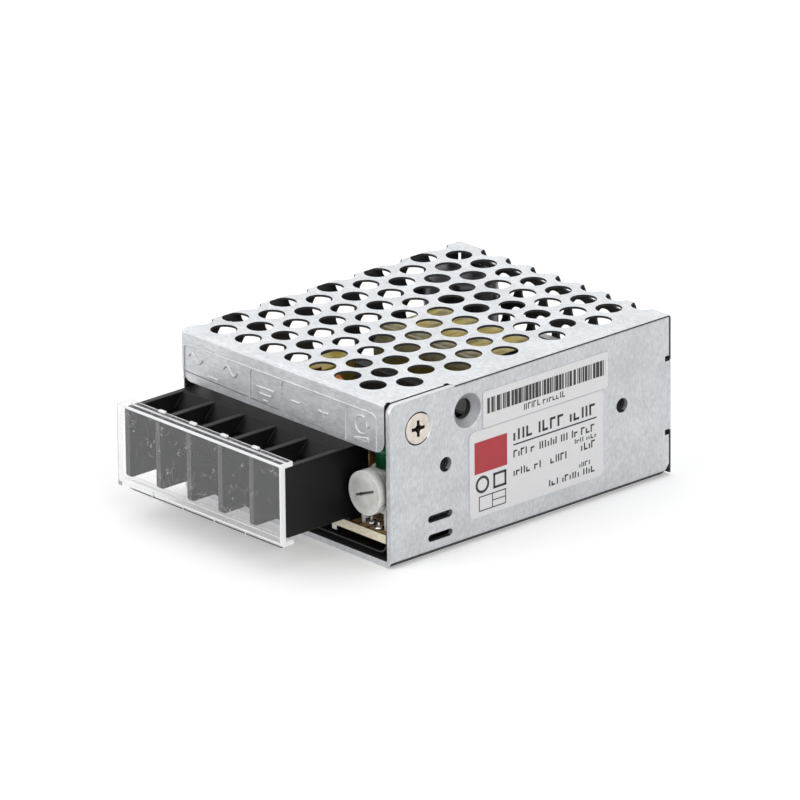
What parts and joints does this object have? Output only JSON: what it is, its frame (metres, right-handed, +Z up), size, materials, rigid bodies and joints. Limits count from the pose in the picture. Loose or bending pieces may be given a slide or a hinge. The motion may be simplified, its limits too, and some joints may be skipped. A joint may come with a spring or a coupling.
{
  "type": "mesh case switching power supply",
  "caption": "Small enclosed switching power supply with a perforated folded cover, a screw terminal block under a clear snap cover, a trimmer and a lamp.",
  "frame": {"origin": "middle of the chassis underside, on the face it stands on", "axes": "+Z up, +Y from the terminals to the back, +X towards the wall with the labels"},
  "size_m": [0.0511, 0.0775, 0.028],
  "materials": {
    "galvanised_sheet": "zinc coated sheet, matt with a fine spangle",
    "cover_screw_steel": "nickel plated",
    "black_film": "smooth satin film",
    "tan_board": "phenolic paper board, light cut edge",
    "plated_steel": "nickel plated",
    "black_moulding": "moulded, satin",
    "clear_plastic": "clear moulded polycarbonate",
    "milky_plastic": "milky white moulding",
    "green_lens": "tinted epoxy",
    "ferrite": "sintered, dull",
    "yellow_tape": "polyester film tape",
    "dark_bobbin": "moulded phenolic",
    "copper_wire": "enamelled copper",
    "bare_aluminium": "mill finish",
    "black_epoxy": "moulded epoxy",
    "fuse_body": "glazed tube",
    "disc_green": "dipped coating",
    "yellow_box": "moulded box",
    "can_sleeve": "shrink sleeve, aluminium top",
    "red_box": "moulded box",
    "disc_blue": "dipped coating",
    "resistor_body": "lacquered",
    "white_sticker": "coated film sticker, satin"
  },
  "bodies": {
    "case": {"chassis": "galvanised_sheet", "mesh_cover": "galvanised_sheet", "cover_screw": "cover_screw_steel", "insulation_film": "black_film", "circuit_board": "tan_board", "board_screws": "plated_steel", "heatsink_screws": "plated_steel", "terminal_plates": "plated_steel", "terminal_housing": "black_moulding", "trimmer_body": "milky_plastic", "indicator_led": "green_lens", "transformer_cores": "ferrite", "choke_core": "ferrite", "inductor_core": "ferrite", "transformer_winding": "yellow_tape", "transformer_bobbin": "dark_bobbin", "choke_windings": "copper_wire", "inductor_winding": "copper_wire", "switch_heatsink": "bare_aluminium", "diode_heatsink": "bare_aluminium", "switch_transistor": "black_epoxy", "output_diode": "black_epoxy", "bridge_rectifier": "black_epoxy", "control_chip": "black_epoxy", "optocoupler": "black_epoxy", "fuse": "fuse_body", "inrush_thermistor": "disc_green", "x_capacitor": "yellow_box", "bulk_capacitor": "can_sleeve", "supply_capacitor": "can_sleeve", "output_capacitor_1": "can_sleeve", "output_capacitor_2": "can_sleeve", "snubber_capacitor": "red_box", "y_capacitor": "disc_blue", "resistor_1": "resistor_body", "resistor_2": "resistor_body", "resistor_3": "resistor_body", "resistor_4": "resistor_body", "rating_label": "white_sticker", "barcode_label": "white_sticker"},
    "clamp_1": {"wire_clamp_1": "plated_steel"},
    "screw_1": {"terminal_screw_1": "plated_steel"},
    "clamp_2": {"wire_clamp_2": "plated_steel"},
    "screw_2": {"terminal_screw_2": "plated_steel"},
    "clamp_3": {"wire_clamp_3": "plated_steel"},
    "screw_3": {"terminal_screw_3": "plated_steel"},
    "clamp_4": {"wire_clamp_4": "plated_steel"},
    "screw_4": {"terminal_screw_4": "plated_steel"},
    "clamp_5": {"wire_clamp_5": "plated_steel"},
    "screw_5": {"terminal_screw_5": "plated_steel"},
    "clear_cover": {"terminal_cover": "clear_plastic"},
    "dial": {"trimmer_dial": "milky_plastic"}
  },
  "joints": [
    {"name": "clamp_travel_1", "type": "slide", "parent": "case", "child": "clamp_1", "axis": [0, -1, 0], "range_m": [0, 0.0024]},
    {"name": "screw_turn_1", "type": "hinge", "parent": "clamp_1", "child": "screw_1", "pos_m": [-0.01949, -0.04, 0.012], "axis": [0, -1, 0], "range_deg": [0, 1440]},
    {"name": "clamp_travel_2", "type": "slide", "parent": "case", "child": "clamp_2", "axis": [0, -1, 0], "range_m": [0, 0.0024]},
    {"name": "screw_turn_2", "type": "hinge", "parent": "clamp_2", "child": "screw_2", "pos_m": [-0.01187, -0.04, 0.012], "axis": [0, -1, 0], "range_deg": [0, 1440]},
    {"name": "clamp_travel_3", "type": "slide", "parent": "case", "child": "clamp_3", "axis": [0, -1, 0], "range_m": [0, 0.0024]},
    {"name": "screw_turn_3", "type": "hinge", "parent": "clamp_3", "child": "screw_3", "pos_m": [-0.00425, -0.04, 0.012], "axis": [0, -1, 0], "range_deg": [0, 1440]},
    {"name": "clamp_travel_4", "type": "slide", "parent": "case", "child": "clamp_4", "axis": [0, -1, 0], "range_m": [0, 0.0024]},
    {"name": "screw_turn_4", "type": "hinge", "parent": "clamp_4", "child": "screw_4", "pos_m": [0.00337, -0.04, 0.012], "axis": [0, -1, 0], "range_deg": [0, 1440]},
    {"name": "clamp_travel_5", "type": "slide", "parent": "case", "child": "clamp_5", "axis": [0, -1, 0], "range_m": [0, 0.0024]},
    {"name": "screw_turn_5", "type": "hinge", "parent": "clamp_5", "child": "screw_5", "pos_m": [0.01099, -0.04, 0.012], "axis": [0, -1, 0], "range_deg": [0, 1440]},
    {"name": "cover_pull", "type": "slide", "parent": "case", "child": "clear_cover", "axis": [0, -1, 0], "range_m": [0, 0.014]},
    {"name": "dial_turn", "type": "hinge", "parent": "case", "child": "dial", "pos_m": [0.02, -0.0312, 0.0118], "axis": [0, -1, 0], "range_deg": [-115, 115]}
  ],
  "couplings": [
    {"joint": "screw_turn_1", "follows": "clamp_travel_1", "rad_per_m": 10472},
    {"joint": "screw_turn_2", "follows": "clamp_travel_2", "rad_per_m": 10472},
    {"joint": "screw_turn_3", "follows": "clamp_travel_3", "rad_per_m": 10472},
    {"joint": "screw_turn_4", "follows": "clamp_travel_4", "rad_per_m": 10472},
    {"joint": "screw_turn_5", "follows": "clamp_travel_5", "rad_per_m": 10472}
  ]
}
